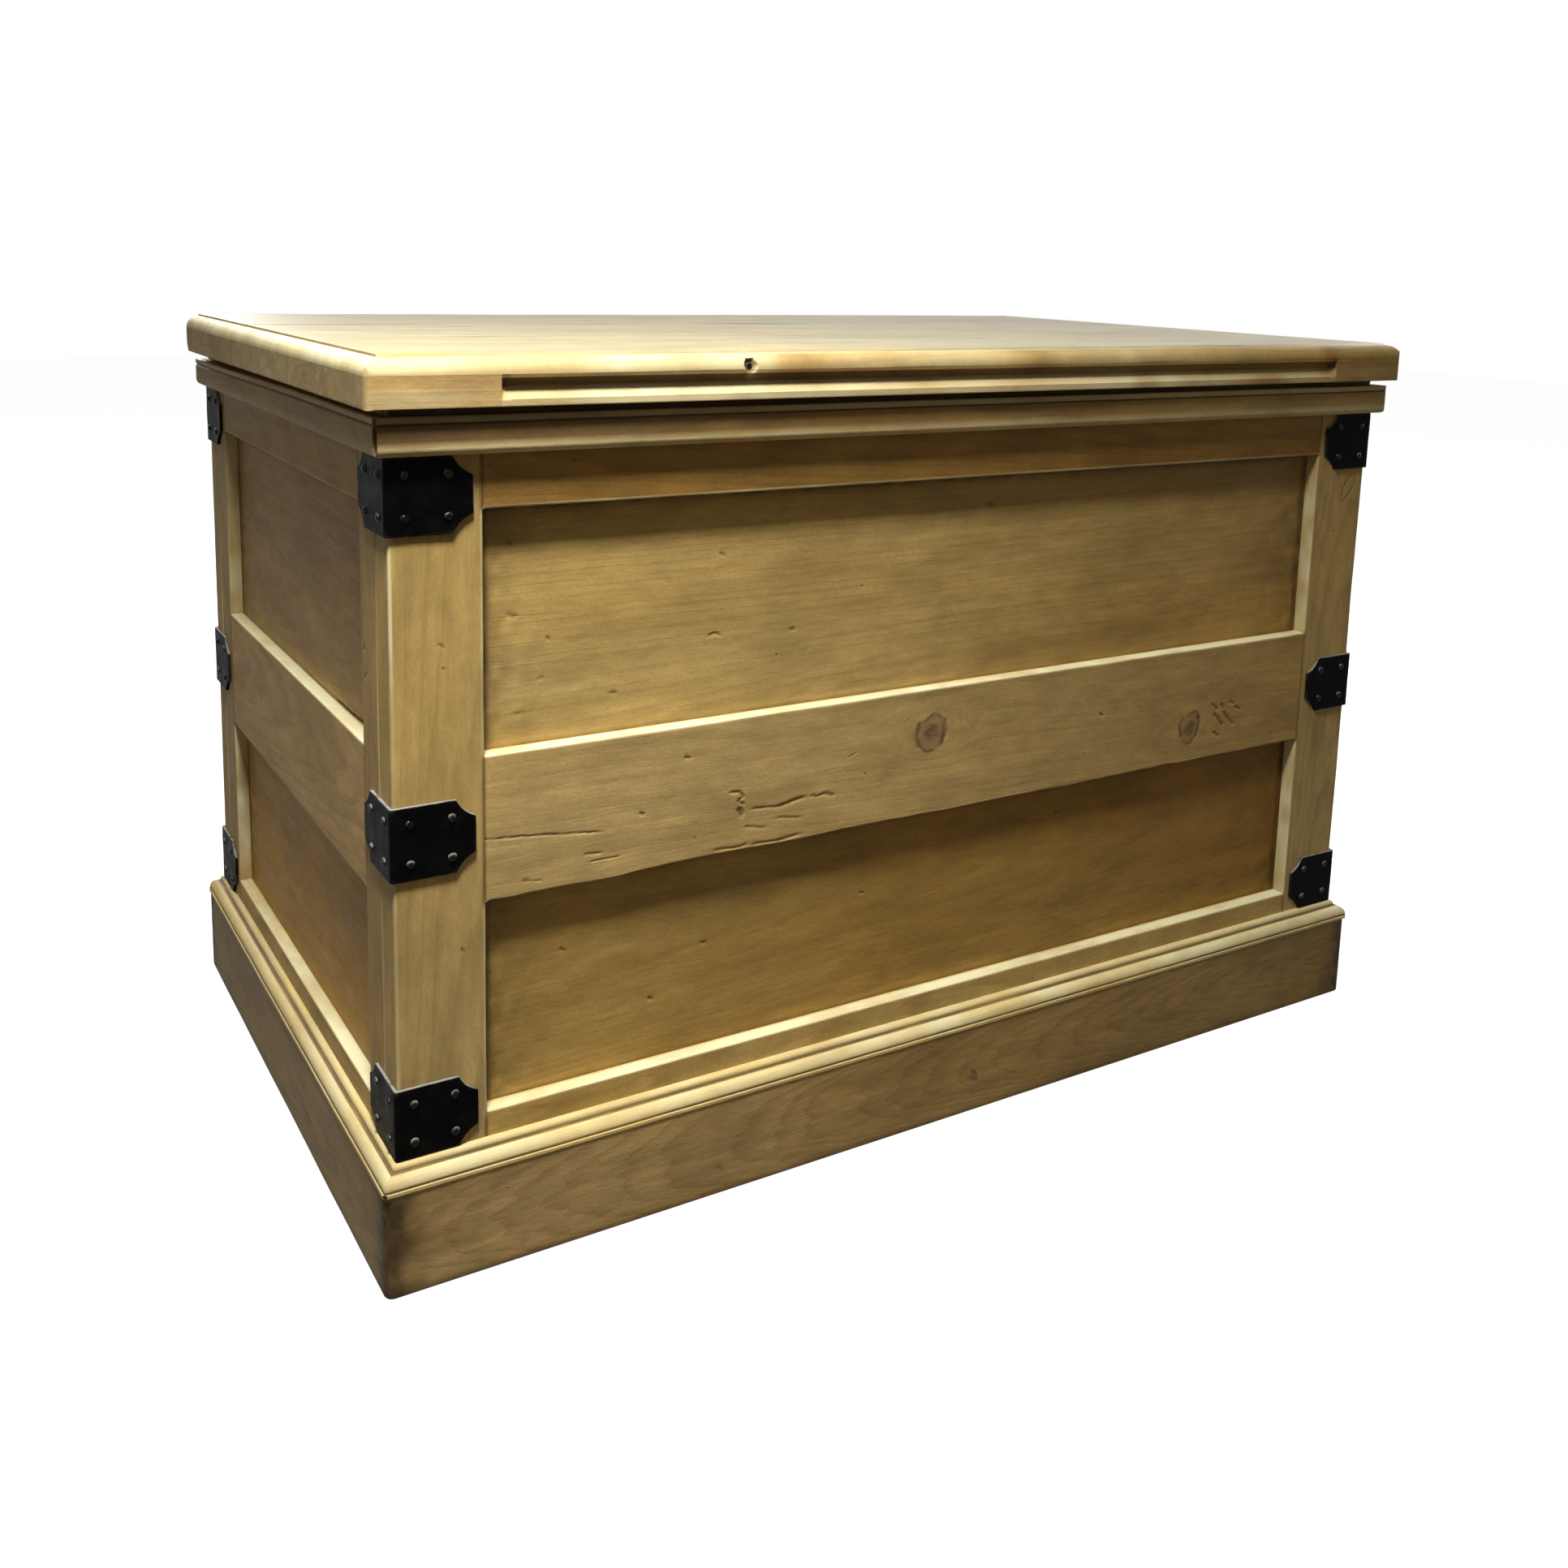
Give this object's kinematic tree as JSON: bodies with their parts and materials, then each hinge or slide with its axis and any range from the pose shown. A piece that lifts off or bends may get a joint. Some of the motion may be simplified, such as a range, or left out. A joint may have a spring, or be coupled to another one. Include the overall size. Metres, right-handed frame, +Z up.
{
  "type": "storage trunk",
  "caption": "Panelled pine storage trunk with a hinged flat lid, a finger groove in the lid's front edge, black iron corner straps and a moulded plinth.",
  "frame": {"origin": "on the floor, in the middle of the trunk's outline seen from above", "axes": "+X to the right of someone facing the front, +Y to the back, +Z up"},
  "size_m": [0.976, 0.5928, 0.6473],
  "materials": {
    "pine_frame": "stripped and waxed old pine, satin",
    "pine_panel": "stripped and waxed old pine, satin",
    "pine_moulding": "stripped and waxed old pine, satin",
    "pine_lid": "stripped and waxed old pine, worn, satin",
    "raw_pine": "bare pine, dull",
    "black_iron": "black japanned, satin",
    "bright_steel": "dulled with age"
  },
  "bodies": {
    "carcass": {"front_left_stile": "pine_frame", "front_right_stile": "pine_frame", "front_top_rail": "pine_frame", "front_middle_rail": "pine_frame", "front_bottom_rail": "pine_frame", "front_upper_panel": "pine_panel", "front_lower_panel": "pine_panel", "collar_front": "pine_moulding", "plinth_front": "pine_frame", "plinth_cap_front": "pine_moulding", "back_right_stile": "pine_frame", "back_left_stile": "pine_frame", "back_top_rail": "pine_frame", "back_middle_rail": "pine_frame", "back_bottom_rail": "pine_frame", "back_upper_panel": "pine_panel", "back_lower_panel": "pine_panel", "plinth_back": "pine_frame", "plinth_cap_back": "pine_moulding", "left_back_stile": "pine_frame", "left_front_stile": "pine_frame", "left_top_rail": "pine_frame", "left_middle_rail": "pine_frame", "left_bottom_rail": "pine_frame", "left_upper_panel": "pine_panel", "left_lower_panel": "pine_panel", "collar_left": "pine_moulding", "plinth_left": "pine_frame", "plinth_cap_left": "pine_moulding", "right_front_stile": "pine_frame", "right_back_stile": "pine_frame", "right_top_rail": "pine_frame", "right_middle_rail": "pine_frame", "right_bottom_rail": "pine_frame", "right_upper_panel": "pine_panel", "right_lower_panel": "pine_panel", "collar_right": "pine_moulding", "plinth_right": "pine_frame", "plinth_cap_right": "pine_moulding", "front_left_straps": "black_iron", "front_right_straps": "black_iron", "back_left_straps": "black_iron", "back_right_straps": "black_iron", "strap_nails": "black_iron", "bottom_boards": "raw_pine", "bottom_bearers": "raw_pine", "left_hinge_carcass_leaf": "black_iron", "left_hinge_pin": "bright_steel", "right_hinge_carcass_leaf": "black_iron", "right_hinge_pin": "bright_steel", "hinge_carcass_screws": "bright_steel"},
    "lid": {"lid_front_board": "pine_lid", "lid_middle_board": "pine_lid", "lid_back_board": "pine_lid", "lid_edge_nail": "bright_steel", "lid_left_batten": "raw_pine", "left_hinge_lid_leaf": "black_iron", "lid_right_batten": "raw_pine", "right_hinge_lid_leaf": "black_iron", "lid_screws": "bright_steel"}
  },
  "joints": [
    {"name": "lid_hinge", "type": "hinge", "parent": "carcass", "child": "lid", "pos_m": [0, 0.2756, 0.61315], "axis": [-1, 0, 0], "range_deg": [0, 98]}
  ]
}
